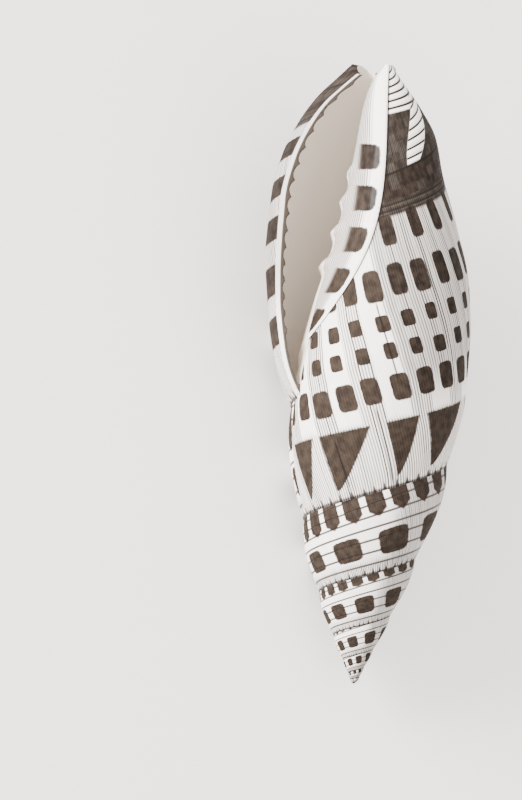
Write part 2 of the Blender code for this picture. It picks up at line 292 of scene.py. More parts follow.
def outside_sheet():
    """Points and faces of the closed outside. The last face is the lip's edge, one flat polygon."""
    seam = WHORLS_BEFORE_LAST * WHORL_ROWS + 1
    growths = [step / COLUMNS - 1 for step in range(COLUMNS)] + list(LIP_COLUMNS)
    columns = [column_rows(growth) for growth in growths]
    whole, rows = len(columns) - 1, len(columns[0])
    points = np.concatenate([*columns[:-1], columns[-1][seam:]])
    index = np.arange(whole * rows).reshape(whole, rows)
    last = np.concatenate((index[0][WHORL_ROWS : WHORL_ROWS + seam], whole * rows + np.arange(rows - seam)))
    index = np.vstack((index, last))
    tip, end = len(points), len(points) + 1
    oldest = -WHORLS_BEFORE_LAST - 1
    points = np.vstack((points, [oldest, suture_height(oldest) * 0.5, 0], [0, front_height(0), 0]))
    left, right = index[:-1], index[1:]
    quads = np.stack((left[:, :-1], left[:, 1:], right[:, 1:], right[:, :-1]), axis=-1).reshape(-1, 4)
    faces = quads.tolist()
    faces += [[tip, a, b] for a, b in zip(left[:, 0].tolist(), right[:, 0].tolist())]
    faces += [[end, b, a] for a, b in zip(left[:, -1].tolist(), right[:, -1].tolist())]
    first = index[0].tolist()
    faces.append([tip, *first[: WHORL_ROWS + 1]])
    faces.append([*last[seam - 1 :].tolist(), end, *reversed(first[seam + WHORL_ROWS :])])
    return points, faces


sheet_points, sheet_faces = outside_sheet()
print("outside sheet:", len(sheet_points), "points,", len(sheet_faces), "faces")

# %% [markdown]
# ## The hollow
# The inside of the shell is a second closed sheet, wound by the same rule and then cut out of the first. At
# each growth its section runs forwards along the pillar and the whorl before, and back along the outer
# wall. Near the lip the wall carries the row of small teeth.

# %% The hollow's section
WALL = 1.5 * MM
LIP_WALL = 1.0 * MM
PILLAR_RADIUS = 2.2 * MM
PILLAR_SHAVING = 0.08 * MM
THINNEST_PILLAR = 0.25 * MM
THINNEST_GAP = 0.4 * MM
LIP_CLEARANCE = 0.9 * MM
CANAL_CLOSES_AT = -0.46
CANAL_FADE = 0.12
CANAL_BACK = 90 * MM
CANAL_LENGTH = 25 * MM
CANAL_NARROWING = 9 * MM
CANAL_ENDS = (-0.405, -0.345)  # growths between which the hollow's front end draws back
CANAL_ENDS_AT = 105.5 * MM
CAVITY_DEPTH = 2.2
CAVITY_OVERSHOOT = 6 * MM
TEETH = 18
TOOTH_SIZE = 0.7 * MM
TOOTH_REACH = 0.035
TOOTH_SHARES = (0.10, 0.93)
PILLAR_ROWS = 84
WALL_ROWS = 108
SAMPLES = 900
LIP_FLARE = 0.25 * MM


def whorl_surface(growth, height):
    """The outside of a whorl, with the part that later whorls cover."""
    if growth >= -1:
        return smooth_body(growth, height)
    scale = suture_height(growth) / suture_height(-1)
    covered = smooth_body(-1, np.minimum(height / scale, SHELL_LENGTH)) * scale
    shown = np.minimum(covered, whorl_radius(growth, height))
    return np.where(height < suture_height(growth + 1), shown, covered)


def inner_radius(growth, height):
    """The surface that a whorl is wound on."""
    before = growth - 1
    if before >= -1:
        return body_radius(before, height)
    pillar = np.minimum(PILLAR_RADIUS, outline_radius(-1, height))
    raised = GLAZE_THICKNESS * glaze_cover(before, height)
    return np.maximum(whorl_surface(before, height), pillar) + fold_relief(before, height) + raised


def hollow_section(growth):
    """Growth, height and radius round the hollow: forwards on the pillar, then back on the wall."""
    inside = min(growth, 0.0)
    back = suture_height(inside) + 0.5 * MM
    open_end = smooth_step((growth - CANAL_ENDS[0]) / (CANAL_ENDS[1] - CANAL_ENDS[0]))
    front = CANAL_ENDS_AT + (SHELL_LENGTH + CAVITY_OVERSHOOT - CANAL_ENDS_AT) * open_end
    heights = np.linspace(back, front, SAMPLES)
    reach = np.minimum(heights, SHELL_LENGTH)
    if growth > 0:
        inner = body_radius(growth - 1, reach) + LIP_CLEARANCE
    else:
        inner = np.maximum(inner_radius(growth, reach) - PILLAR_SHAVING, THINNEST_PILLAR)
    end = front_height(inside) if inside > -1 else SHELL_LENGTH
    edge = smooth_step(-inside / 0.12)
    wall = (LIP_WALL + (WALL - LIP_WALL) * edge) * math.sqrt(suture_height(inside) / suture_height(0))
    outer = whorl_surface(inside, np.minimum(heights, end)) - wall
    closing = smooth_step((CANAL_CLOSES_AT - inside) / CANAL_FADE)
    outer = outer - closing * CANAL_NARROWING * smooth_step((heights - CANAL_BACK) / CANAL_LENGTH)
    gap = outer - inner
    middle = int(np.argmax(gap * (heights < CANAL_BACK)))
    closed_before = np.nonzero(gap[:middle] <= THINNEST_GAP)[0]
    closed_after = np.nonzero(gap[middle:] <= THINNEST_GAP)[0]
    low = heights[closed_before[-1] + 1] if len(closed_before) else heights[0]
    high = heights[middle + closed_after[0] - 1] if len(closed_after) else heights[-1]
    way_out = np.linspace(low, high, PILLAR_ROWS)
    shares = np.linspace(0, 1, WALL_ROWS)
    way_back = low + (high - low) * shares
    reach_of_teeth = smooth_step(1 + inside / TOOTH_REACH)
    along = (shares - TOOTH_SHARES[0]) / (TOOTH_SHARES[1] - TOOTH_SHARES[0])
    toothed = smooth_step(along * 20) * smooth_step((1 - along) * 20)
    cusps = (1 - np.abs(np.sin(math.pi * TEETH * along))) ** 1.5
    back_radii = np.interp(way_back, heights, outer) - TOOTH_SIZE * cusps * toothed * reach_of_teeth
    back_radii = back_radii + LIP_FLARE * round_over(inside)
    heights_round = np.concatenate((way_out, way_back[::-1]))
    radii = np.concatenate((np.interp(way_out, heights, inner), back_radii[::-1]))
    return np.stack((np.full(len(radii), growth), heights_round, radii), axis=1)


def hollow_sheet():
    """Points and faces of the closed hollow, fine near the lip and coarse deep inside."""
    deep = np.arange(-CAVITY_DEPTH, -0.501, 0.025)
    canal = np.arange(-0.5, -0.301, 0.005)
    near = np.arange(-0.3, -0.0626, 0.0125)
    mouth = (*np.linspace(-0.0625, -0.0050, 15), *LIP_COLUMNS, 0.02)
    sections = [hollow_section(g) for g in (*deep, *canal, *near, *mouth)]
    points = np.concatenate(sections)
    index = np.arange(len(points)).reshape(len(sections), -1)
    around = np.roll(index, -1, axis=1)
    quads = np.stack((index[:-1], around[:-1], around[1:], index[1:]), axis=-1).reshape(-1, 4)
    return points, [*quads.tolist(), index[0].tolist(), index[-1].tolist()]


hollow_points, hollow_faces = hollow_sheet()
section_sides = np.repeat((1.0, 2.0), (PILLAR_ROWS, WALL_ROWS))
hollow_sides = np.tile(section_sides, len(hollow_points) // len(section_sides))
print("hollow sheet:", len(hollow_points), "points,", len(hollow_faces), "faces")

# %% [markdown]
# ## Flat sheets as Blender meshes
# The corner values are worked out from the points. A face that ends at a suture belongs to the older whorl,
# so its corners on the suture are counted one turn back. On the lip's edge, the one flat polygon, growth is
# 0 at every corner, so that the whole edge counts as newly grown shell.

# %% Make a mesh of a sheet


def sheet_object(name, points, faces, side):
    mesh = bpy.data.meshes.new(name)
    mesh.from_pydata(points.tolist(), [], faces)
    corners = np.empty(len(mesh.loops), dtype=np.int32)
    mesh.loops.foreach_get("vertex_index", corners)
    growth, height = points[:, 0], points[:, 1]
    distance = suture_distance(growth, height)
    of_corner, height_of_corner = growth[corners], height[corners]
    sizes = [len(face) for face in faces]
    oldest = np.repeat(np.minimum.reduceat(of_corner, np.cumsum([0, *sizes[:-1]])), sizes)
    of_corner = np.where(of_corner > oldest + 0.5, of_corner - 1, of_corner)
    far = suture_distance(of_corner, height_of_corner)
    chart = np.stack((of_corner, far / MM, height_of_corner / MM), axis=1)
    lip = len(faces[-1])
    chart[-lip:, 0] = 0
    chart[-lip:, 1] = (height[corners[-lip:]] - suture_height(0)) / MM
    mesh.attributes.new("chart", "FLOAT_VECTOR", "CORNER").data.foreach_set("vector", chart.ravel())
    mesh.attributes.new("side", "FLOAT", "CORNER").data.foreach_set("value", side[corners])
    mesh.attributes.new("distance", "FLOAT", "POINT").data.foreach_set("value", distance / MM)
    glaze = np.where(growth < -1, 0.0, glaze_cover(growth, height))
    mesh.attributes.new("glaze", "FLOAT", "POINT").data.foreach_set("value", glaze)
    obj = bpy.data.objects.new(name, mesh)
    bpy.context.scene.collection.objects.link(obj)
    return obj


outside = sheet_object("outside", sheet_points, sheet_faces, np.zeros(len(sheet_points)))
hollow = sheet_object("hollow", hollow_points, hollow_faces, hollow_sides)
print("corner values from", len(outside.data.loops), "corners")

# %% [markdown]
# ## Sums on sockets
# A long formula is hard to read as boxes and wires. This small class stands for one wire of a node tree,
# and Python's own signs add the Math nodes. It works in a shader tree and in a Geometry Nodes tree alike,
# so the grooves in the mesh and the lines in the colour can come from one formula.

# %% A wire that can be added and multiplied


class Wire:
    def __init__(self, tree, socket):
        self.tree = tree
        self.socket = socket

    def make(self, kind, settings=None, inputs=None, output=0):
        """Add any node: its type, its settings, then the values or links of its sockets."""
        node = self.tree.nodes.new(kind)
        for name, value in (settings or {}).items():
            setattr(node, name, value)
        for key, value in (inputs or {}).items():
            if isinstance(value, Wire):
                self.tree.links.new(value.socket, node.inputs[key])
            else:
                node.inputs[key].default_value = value
        return None if output is None else Wire(self.tree, node.outputs[output])

    def split(self):
        """The three numbers of a vector."""
        node = self.make("ShaderNodeSeparateXYZ", {}, {"Vector": self}).socket.node
        return [Wire(self.tree, socket) for socket in node.outputs]

    def math(self, operation, *terms):
        return self.make("ShaderNodeMath", {"operation": operation}, dict(enumerate(terms)))

    def __add__(self, other):
        return self.math("ADD", self, other)

    def __sub__(self, other):
        return self.math("SUBTRACT", self, other)

    def __rsub__(self, other):
        return self.math("SUBTRACT", other, self)

    def __mul__(self, other):
        return self.math("MULTIPLY", self, other)

    def __truediv__(self, other):
        return self.math("DIVIDE", self, other)

    def __pow__(self, other):
        return self.math("POWER", self, other)

    def __neg__(self):
        return self.math("MULTIPLY", self, -1.0)

    __radd__ = __add__
    __rmul__ = __mul__

    def abs(self):
        return self.math("ABSOLUTE", self)

    def sin(self):
        return self.math("SINE", self)

    def cos(self):
        return self.math("COSINE", self)

    def exp(self):
        return self.math("EXPONENT", self)

    def fract(self):
        return self.math("FRACT", self)

    def floor(self):
        return self.math("FLOOR", self)

    def max(self, other):
        return self.math("MAXIMUM", self, other)

    def min(self, other):
        return self.math("MINIMUM", self, other)

    def below(self, limit):
        return self.math("LESS_THAN", self, limit)

    def step(self, low, high):
        """0 below low and 1 above high, with a smooth step between. Low may be the larger."""
        sockets = {"Value": self, "From Min": low, "From Max": high}
        return self.make("ShaderNodeMapRange", {"interpolation_type": "SMOOTHSTEP"}, sockets)

    def noise(self, x, y=0.0, z=0.0, detail=2.0, roughness=0.5):
        """Soft noise from 0 to 1 at a place given by three numbers."""
        place = self.make("ShaderNodeCombineXYZ", {}, {"X": x, "Y": y, "Z": z})
        sockets = {"Vector": place, "Scale": 1.0, "Detail": detail, "Roughness": roughness}
        return self.make("ShaderNodeTexNoise", {"noise_dimensions": "3D"}, sockets)

    def chance(self, x, y=0.0):
        """A random number from 0 to 1 that is the same for the same two numbers."""
        place = self.make("ShaderNodeCombineXYZ", {}, {"X": x, "Y": y, "Z": 0.5})
        return self.make("ShaderNodeTexWhiteNoise", {"noise_dimensions": "3D"}, {"Vector": place})


print("signs and methods of a wire:", len([name for name in vars(Wire) if not name.startswith("__init")]))

# %% [markdown]
# ## The relief
# A mitre isn't smooth. Its spire has fine spiral grooves, short wrinkles stand in front of each suture,
# cords run round the front end, and faint ripples mark where growth paused. Each is a wave in the flat
# coordinates. The functions take wires, so the mesh gets the coarse waves and the shader gets the fine
# ones, from the same words.

# %% Waves that the mesh and the paint share
TURN = 2 * math.pi
WRINKLES = 39  # for each turn
WRINKLE_REACH = 2.4  # mm in front of the suture
COLUMN_LEAN = 0.0035  # turns for each mm from the suture
SPIRE_STARTS = -1.03  # growth


def growth_line(growth, distance):
    """The growth at which an edge that leans as the lip does passed the suture."""
    return growth + distance * COLUMN_LEAN


def wrinkle_wave(growth, distance):
    """From -1 to 1 across the wrinkles in front of a suture, which follow the lines of growth."""
    line = growth_line(growth, distance)
    drift = growth.noise(line * 17.0, 3.1, 0.0) * 7.0
    return (line * (WRINKLES * TURN) + drift).sin()


def wrinkle_fade(distance):
    return distance.step(WRINKLE_REACH, 0.3) * distance.step(0.0, 0.5)


print(WRINKLES, "wrinkles a turn, and lines of growth that lean by", COLUMN_LEAN, "turns for each mm")

# %% [markdown]
# ## Winding the sheet
# The tree reads each point as growth, height and radius, adds the relief to the radius, and moves the point
# to its place on the spiral. It is a rule for every point alike, which is what Set Position is for. The
# same tree winds the hollow, with all its relief set to nothing.

# %% The tree that winds a sheet
SHAPE_SIZES = ("Lip Angle", "Axis Bend", "Spire Bow")
RELIEF_SIZES = ("Wrinkle Height", "Ripple Height", "Dent Depth", "Inset", "Seed")


def winding_tree():
    tree = bpy.data.node_groups.new("Wind a sheet", "GeometryNodeTree")
    face = tree.interface
    face.new_socket("Geometry", in_out="INPUT", socket_type="NodeSocketGeometry")
    for name in (*SHAPE_SIZES, *RELIEF_SIZES):
        face.new_socket(name, in_out="INPUT", socket_type="NodeSocketFloat")
    face.new_socket("Material", in_out="INPUT", socket_type="NodeSocketMaterial")
    face.new_socket("Geometry", in_out="OUTPUT", socket_type="NodeSocketGeometry")
    start = tree.nodes.new("NodeGroupInput")
    given = {socket.name: Wire(tree, socket) for socket in start.outputs if socket.name}
    sheet, seed = given["Geometry"], given["Seed"]
    distance, glaze = (
        sheet.make("GeometryNodeInputNamedAttribute", {"data_type": "FLOAT"}, {"Name": name})
        for name in ("distance", "glaze")
    )
    growth, height, radius = sheet.make("GeometryNodeInputPosition").split()

    height_mm = height * (1 / MM)
    line = growth_line(growth, distance)
    wrinkles = wrinkle_wave(growth, distance) * wrinkle_fade(distance) * given["Wrinkle Height"]
    ripples = (growth.noise(line * 34.0, distance * 0.02, seed, detail=3.0) - 0.5) * given["Ripple Height"]
    dents = (growth.noise(growth * 7.0, height_mm * 0.09, seed) - 0.5) * given["Dent Depth"]
    small_when_young = (radius * (1 / (15 * MM))).min(1.0)
    relief = (wrinkles + ripples + dents) * small_when_young * (1.0 - glaze) - given["Inset"]
    radius = (radius + relief * radius.step(0.0, 0.4 * MM)).max(0.0)

    up_spire = (height * (1 / SPIRE_HEIGHT)).min(1.0)
    bow = up_spire * (1.0 - up_spire) * 4.0 * given["Spire Bow"]
    bend = height.step(AXIS_BEND_FROM, SHELL_LENGTH) * given["Axis Bend"]
    angle = given["Lip Angle"] - growth * TURN
    across = bend + bow + radius * angle.cos()
    wound = sheet.make("ShaderNodeCombineXYZ", {}, {"X": across, "Y": height, "Z": radius * angle.sin()})
    moved = sheet.make("GeometryNodeSetPosition", {}, {"Geometry": sheet, "Position": wound})
    merged = sheet.make("GeometryNodeMergeByDistance", {}, {"Geometry": moved, "Distance": 0.02 * MM})
    real = sheet.make("GeometryNodeRealizeInstances", {}, {"Geometry": merged})
    painted = sheet.make("GeometryNodeSetMaterial", {}, {"Geometry": real, "Material": given["Material"]})
    tree.links.new(painted.socket, tree.nodes.new("NodeGroupOutput").inputs["Geometry"])
    return tree


winding = winding_tree()
print("the winding tree has", len(winding.nodes), "nodes")

# %% [markdown]
# A modifier's inputs are set by their identifiers, before the object is first evaluated. The result is then
# turned into a plain mesh, which no longer needs the tree.

# %% Wind the outside and the hollow
shell_material = bpy.data.materials.new("painted_shell")
WINDING = {"Lip Angle": LIP_ANGLE, "Axis Bend": AXIS_BEND, "Spire Bow": SPIRE_BOW, "Seed": 1.7}
RELIEF = {"Wrinkle Height": 0.24 * MM, "Ripple Height": 0.22 * MM}
RELIEF.update({"Dent Depth": 0.28 * MM, "Inset": 0.10 * MM})


def wound_mesh(obj, sizes):
    modifier = obj.modifiers.new("wind", "NODES")
    modifier.node_group = winding
    wanted = {**WINDING, **sizes, "Material": shell_material}
    for item in winding.interface.items_tree:
        if item.in_out == "INPUT" and item.name in wanted:
            modifier[item.identifier] = wanted[item.name]
    graph = bpy.context.evaluated_depsgraph_get()
    mesh = bpy.data.meshes.new_from_object(obj.evaluated_get(graph), depsgraph=graph)
    bpy.data.objects.remove(obj, do_unlink=True)
    net = bmesh.new()
    net.from_mesh(mesh)
    bmesh.ops.triangulate(net, faces=[face for face in net.faces if len(face.verts) > 4])
    bmesh.ops.recalc_face_normals(net, faces=net.faces)
    net.to_mesh(mesh)
    open_edges = sum(not edge.is_manifold for edge in net.edges)
    volume = net.calc_volume() / MM**3
    print(mesh.name, "has", len(net.faces), "faces and", open_edges, "open edges")
    print(mesh.name, "holds", round(volume), "cubic mm")
    net.free()
    return mesh


outside_mesh = wound_mesh(outside, RELIEF)
hollow_mesh = wound_mesh(hollow, {})

# %% [markdown]
# ## Cutting the hollow out
# A Boolean is the honest way to make the opening: the wall, the lip, the canal and the notch all appear
# where the two surfaces meet. The exact solver carries the corner values over to the new faces. Edges that
# turn by more than 50 degrees stay crisp.

# %% Cut with a Boolean
shell = bpy.data.objects.new("mitre_shell", outside_mesh)
cutter = bpy.data.objects.new("cutter", hollow_mesh)
for obj in (shell, cutter):
    bpy.context.scene.collection.objects.link(obj)
cut = shell.modifiers.new("hollow", "BOOLEAN")
cut.operation = "DIFFERENCE"
cut.object = cutter
cut.solver = "EXACT"
graph = bpy.context.evaluated_depsgraph_get()
cut_mesh = bpy.data.meshes.new_from_object(shell.evaluated_get(graph), depsgraph=graph)
shell.modifiers.clear()
bpy.data.objects.remove(cutter, do_unlink=True)
shell.data = cut_mesh
print("cut shell:", len(cut_mesh.vertices), "points,", len(cut_mesh.polygons), "faces")

# %% [markdown]
# ## Laying it down
# The shell is turned so that it rests on its back, and moved to where the solid model lies. The solid rests
# on a narrow flat, so the smooth shell is worn flat there too.

# %% Turn and place the shell
turn = Matrix.Rotation(PITCH, 4, "X") @ Matrix.Rotation(ROLL, 4, "Y")


def lay_down(mesh):
    mesh.transform(turn)
    coords = np.empty(len(mesh.vertices) * 3)
    mesh.vertices.foreach_get("co", coords)
    coords = coords.reshape(-1, 3)
    middle = (coords.min(axis=0) + coords.max(axis=0)) / 2
    low, high = (np.array(corner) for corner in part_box("shell"))
    shift = (low + high) / 2 - middle
    shift[2] = high[2] - 0.05 * MM - coords[:, 2].max()
    coords += shift
    floor_level = low[2] + 0.03 * MM
    print("worn off below:", round((floor_level - coords[:, 2].min()) * 1000, 2), "mm")
    coords[:, 2] = np.maximum(coords[:, 2], floor_level)
    mesh.vertices.foreach_set("co", coords.ravel())
    mesh.update()
    return Matrix.Translation(shift) @ turn


placement = lay_down(shell.data)
shell.data.materials.clear()
shell.data.materials.append(shell_material)
shell.data.shade_smooth()
shell.data.set_sharp_from_angle(angle=math.radians(50))
print("the tip lies at", [round(v * 1000, 1) for v in placement @ Vector((0, 0, 0))], "mm")

# %% [markdown]
# ## The paint
# The chart on the corners gives growth, distance from the suture and height in front of the tip, so marks
# that follow the spiral are plain rows in it, and marks that follow the growing edge are plain columns. The
# columns lean, as the lip does.

# %% The paint's coordinates
shell_material.use_nodes = True
paint_tree = shell_material.node_tree
paint_tree.nodes.clear()
origin = Wire(paint_tree, None)
growth, distance, height = origin.make("ShaderNodeAttribute", {"attribute_name": "chart"}, output=1).split()
which_side = origin.make("ShaderNodeAttribute", {"attribute_name": "side"}, output=2)
side = which_side.min(1.0)
line = growth_line(growth, distance)
spire = growth.below(SPIRE_STARTS)
last_whorl = 1.0 - spire
print("chart and side are read with", len(paint_tree.nodes), "nodes")

# %% [markdown]
# ## Blotches
# The animal paints in pulses, so the blotches stand in columns, with one of each row to a column. A blotch
# is a square with rounded corners and a slightly ragged edge. Its size and place are a little off, by a
# random number that is the same all over one blotch.

# %% Rows of blotches
COLUMN = 0.049  # turns
COLUMN_AT = -0.724  # growth line through the middle of one column
BLOTCH_ROWS = (  # middle, length and width: mm from the suture, mm, and share of the column
    (18.0, 5.0, 0.72),
    (24.6, 3.1, 0.50),
    (30.1, 3.1, 0.50),
    (37.3, 6.0, 0.66),
)
HANGING_ROW = (46.9, 5.8, 0.44, 0.0655, -0.605)
ragged = (origin.noise(line * 120.0, distance * 0.9, 2.0, detail=4.0, roughness=0.65) - 0.5) * 0.9


def blotches(middle, tall, wide, column=COLUMN, column_at=COLUMN_AT, from_suture=distance):
    place = (line - column_at) * (1 / column)
    cell = (place + 0.5).floor()
    luck = origin.chance(cell, middle)
    other_luck = origin.chance(cell, middle + 0.37)
    across = (place - cell + (luck - 0.5) * 0.12) / (other_luck * 0.16 + 0.92)
    along = from_suture - middle + (other_luck - 0.5) * 0.7
    reach = (across.abs() * (2 / wide)) ** 5.0 + (along.abs() * (2 / tall)) ** 5.0
    return (reach + ragged).step(1.35, 0.75)


blotch = blotches(*HANGING_ROW)
for row in BLOTCH_ROWS:
    blotch = blotch.max(blotches(*row))
print("rows of blotches on the last whorl:", len(BLOTCH_ROWS) + 1)

# %% [markdown]
# The row in front of the suture is larger: each of its marks is a flame as wide as two columns, cut off
# straight in front and pointed behind, with its straight side on the older edge.

# %% Flames
FLAME = 0.105
FLAME_AT = -0.740
FLAME_TIP = 1.8  # mm from the suture
FLAME_FRONT = 12.2


def flames():
    place = (line - FLAME_AT) * (1 / FLAME)
    cell = (place + 0.5).floor()
    across = place - cell
    wide = (cell * math.pi).cos() * 0.5 + 0.5  # wide and narrow flames take turns
    older = 0.24 + (1.0 - wide) * 0.24
    width = 0.62 + (1.0 - wide) * 0.36
    rise = (distance - FLAME_TIP) * (1 / (FLAME_FRONT - FLAME_TIP))
    from_older = across + older
    newer = width * rise.max(0.0) ** 0.7
    rough = ragged * 0.06
    inside = (from_older + rough).step(-0.02, 0.03) * (newer - from_older + rough).step(-0.02, 0.03)
    return inside * (rise + rough).step(0.0, 0.05) * (1.04 - rise + rough).step(0.0, 0.05)


blotch = blotch.max(flames()) * last_whorl
print("one flame for each", FLAME, "turns")

# %% [markdown]
# On the spire the rows run on, smaller with each whorl, because the chart's distances shrink with the
# whorls. The whorls are wider on the side where the suture slants away, so a distance there is counted as a
# share of the whorl's width. The next suture covers all but the pointed ends of the second row.

# %% Marks on the spire
SPIRE_COLUMN = 0.0575
SPIRE_COLUMN_AT = -1.802
POINTS_AT = 13.7  # where the second row's points end, on a whorl that is 20 wide
SPIRE_BLOTCH = (7.2, 6.2, 0.66, 0.1215)
across_whorl = distance * 20.0 / (20.9 - ((growth + 0.078) * TURN).cos() * 4.5)
whorls_back = (-growth - 1.078).floor().max(0.0)


def spire_points():
    place = (line - SPIRE_COLUMN_AT) * (1 / SPIRE_COLUMN)
    across = (place - (place + 0.5).floor()).abs()
    young = whorls_back.min(1.0)
    tip = across_whorl - POINTS_AT - young * 0.8 + ragged * 0.8 - across * (5.0 - young * 3.0)
    return (across + ragged * 0.05).step(0.39, 0.35) * tip.step(-0.2, 0.4)


spire_blotch_at = -1.840 - whorls_back * 0.93
spire_marks = spire_points().max(blotches(*SPIRE_BLOTCH, spire_blotch_at, across_whorl))
blotch = blotch.max(spire_marks * spire)
print("points end", POINTS_AT, "from the suture, where the next suture is 20 from it")

# %% [markdown]
# ## The dark front
# In front of the last row, the whorl is dark all round, with fine dark cords and small paler patches, which
# are chosen by chance. Behind the notch runs a ridge, the trace of all the notch's earlier places, crossed
# by lines of growth; it is left pale as a painted highlight along the ridge. The very end is pale again.

# %% Dark zone, ridge with a painted highlight, and pale end
DARK_FROM = 48.8  # mm from the suture
DARKEST = (51.4, 56.3)
PALE_END_FROM = 101.3  # mm from the tip, beside the glaze
CORDS = (49.4, 51.3)  # mm from the suture
CORD_SPACING = 1.05
CORD_AT = 49.8
END_SLANT = 12.0  # mm for each turn, for the pale end's edge and lines
RIDGE_SLANT = 27.0
END_LINE_SPACING = 1.3
RIDGE_LINE_SPACING = 1.5

end_slope = height - growth * END_SLANT - (PALE_END_FROM + 0.80 * END_SLANT)
pale_end = (end_slope + ragged * 0.3).step(-0.15, 0.15)
# the ridge is kept pale: a painted highlight along it
ridge_rise = (height - 92.0).max(0.0)
ridge_older = growth - (ridge_rise * ridge_rise * 0.00057 - 0.769)
ridge_newer = (height - 93.0) * 0.0105 - 0.727 - growth
ridge_highlight = ridge_older.step(-0.002, 0.002) * ridge_newer.step(-0.002, 0.002)
ridge_highlight = ridge_highlight * distance.step(DARKEST[1] + 0.1, DARKEST[1] + 0.5)
on_last = last_whorl * distance.step(DARK_FROM - 0.4, DARK_FROM + 0.3)
dark_front = on_last * (1.0 - pale_end) * (1.0 - ridge_highlight)
in_darkest = distance.step(CORDS[1] - 0.2, CORDS[1] + 0.3)
past_darkest = distance.step(DARKEST[1], DARKEST[1] + 0.3)
patch = origin.chance((line * 41.0).floor(), (distance * 0.62).floor()).step(0.66, 0.70)
darkness = in_darkest * (0.035 - patch * 0.03) + 0.965 - past_darkest * 0.01
cord_wave = ((distance - CORD_AT) * (TURN / CORD_SPACING)).cos()
cord_zone = distance.step(CORDS[0] - 0.5, CORDS[0]) * distance.step(CORDS[1] + 0.5, CORDS[1]) * last_whorl
cord_lines = cord_wave.step(0.3, 0.9) * cord_zone
border = (distance - DARKEST[1]).abs().step(0.30, 0.12) * on_last * (1.0 - pale_end)

oblique = ((height - growth * END_SLANT) * (TURN / END_LINE_SPACING)).cos()
steep = ((height - growth * RIDGE_SLANT) * (TURN / RIDGE_LINE_SPACING)).cos()
end_lines = (oblique.step(0.25, 0.75) * pale_end).max(steep.step(0.45, 0.85) * ridge_highlight)
print("the dark zone starts", DARK_FROM, "mm from the suture")

# %% [markdown]
# ## The glaze
# Beside the opening the animal has spread a clear glaze. It is white along its edge, with a row of blotches
# that reach out from the opening. Further in, towards the opening, it is grey with fine lines: painted
# shade.
# Its distances are measured in mm from its edge.

# %% Marks on the glaze
GLAZE_BLOTCH_AT = 71.0  # mm from the tip
GLAZE_BLOTCH_EVERY = 7.4
glaze_edge_wire = ((height - GLAZE_BACK / MM) * (-MM / GLAZE_FALL)).exp() * GLAZE_SPREAD + GLAZE_EDGE
around = ((height - 60.0) * -0.2625 + 15.5).max(3.0) * TURN
from_edge = (glaze_edge_wire - growth) * around
glazed = from_edge.step(-0.08, 0.08) * last_whorl * height.step(56.0, 58.0)
place = (height - GLAZE_BLOTCH_AT) * (1 / GLAZE_BLOTCH_EVERY)
along = (place - (place + 0.5).floor()) * GLAZE_BLOTCH_EVERY
reach = (along.abs() * (2 / 4.6)) ** 4.0 + ((2.6 - from_edge).max(0.0) * (1 / 1.9)) ** 4.0
glaze_blotch = (reach + ragged).step(1.3, 0.7) * from_edge.step(5.4, 3.8) * glazed * height.step(97.5, 96.5)
# painted shade on the glaze towards the opening: a grey tone and fine hatch lines
glaze_painted_shade = from_edge.step(2.2, 3.2) * glazed
glaze_shade_lines = (from_edge * (TURN / 0.42)).cos().step(-0.5, 0.5) * from_edge.step(1.6, 2.6) * glazed
crease = (from_edge + 0.10).abs().step(0.17, 0.05) * last_whorl * height.step(56.0, 58.0)
print("glaze blotches every", GLAZE_BLOTCH_EVERY, "mm")

# %% [markdown]
# ## The lip
# The last bit of growth is a thick pale band. Outside it, a column of larger blotches runs down the lip.
# The band has no lines and no blotches, because the animal laid it down last, while it thickened its lip.

# %% Marks along the lip
LIP_BLOTCHES = ((37.3, 3.8), (29.8, 4.4), (20.6, 5.4), (11.8, 5.0), (44.5, 3.6))
lip_column = growth.step(-0.115, -0.105) * last_whorl
lip_blotch = 0.0
for middle, tall in LIP_BLOTCHES:
    lip_blotch = ((distance - middle + ragged * 0.5).abs() * (2 / tall)).step(1.06, 0.94).max(lip_blotch)
lip_edge = growth.step(-0.014, -0.011)
print("blotches down the lip:", len(LIP_BLOTCHES))

# %% [markdown]
# ## Lines of growth
# Fine dark lines mark each pause of growth. They stand in bundles between plain panels, and a few are
# strong. In front of each suture they end in dark ticks between the wrinkles. On the spire, spiral grooves
# cross them. On the side turned from the light the lines close up and a thin wash joins them: painted
# shade, on the right of the last whorl and of the spire.

# %% Lines
THREADS = 190  # for each turn
BUNDLE = 0.0905  # turns from one bundle to the next
BUNDLE_AT = -0.782
# painted shade: from this growth line on, the last whorl's right side is darkened
PAINTED_SHADE_FROM = -0.707  # growth line in front of which the threads leave no gaps
GROOVE_SPACING = 3.0  # on a whorl that is 20 wide
STRONG_LINES = (  # growth line, where it starts and where it ends in mm from the suture
    (-0.610, 22.0, 48.0),
    (-0.724, 19.0, 35.0),
    (-0.775, 0.0, 16.0),
    (-0.865, 1.0, 12.0),
    (-0.520, 6.0, 40.0),
    (-0.290, 2.0, 47.0),
    (-0.180, 10.0, 44.0),
)
wander = (origin.noise(line * 5.0, distance * 0.06, 5.0) - 0.5) * 0.012
thread_place = (line + wander) * THREADS
thread_luck = origin.chance((thread_place + 0.5).floor(), 7.0)
thread = (thread_place * TURN).cos().step(-0.75, 0.15) * (thread_luck * 0.3 + 0.7)
bundle = ((line + wander - BUNDLE_AT) * (TURN / BUNDLE)).cos().step(-0.10, 0.05)
# painted shade on the side away from the light, where the threads close up
painted_shade_side = line.step(PAINTED_SHADE_FROM - 0.004, PAINTED_SHADE_FROM + 0.004) * distance.step(12.0, 22.0)
low = distance.step(13.5, 12.0)
threads = thread * bundle.max(painted_shade_side).max(low * 0.85).max(lip_column) * last_whorl * (1.0 - lip_edge)
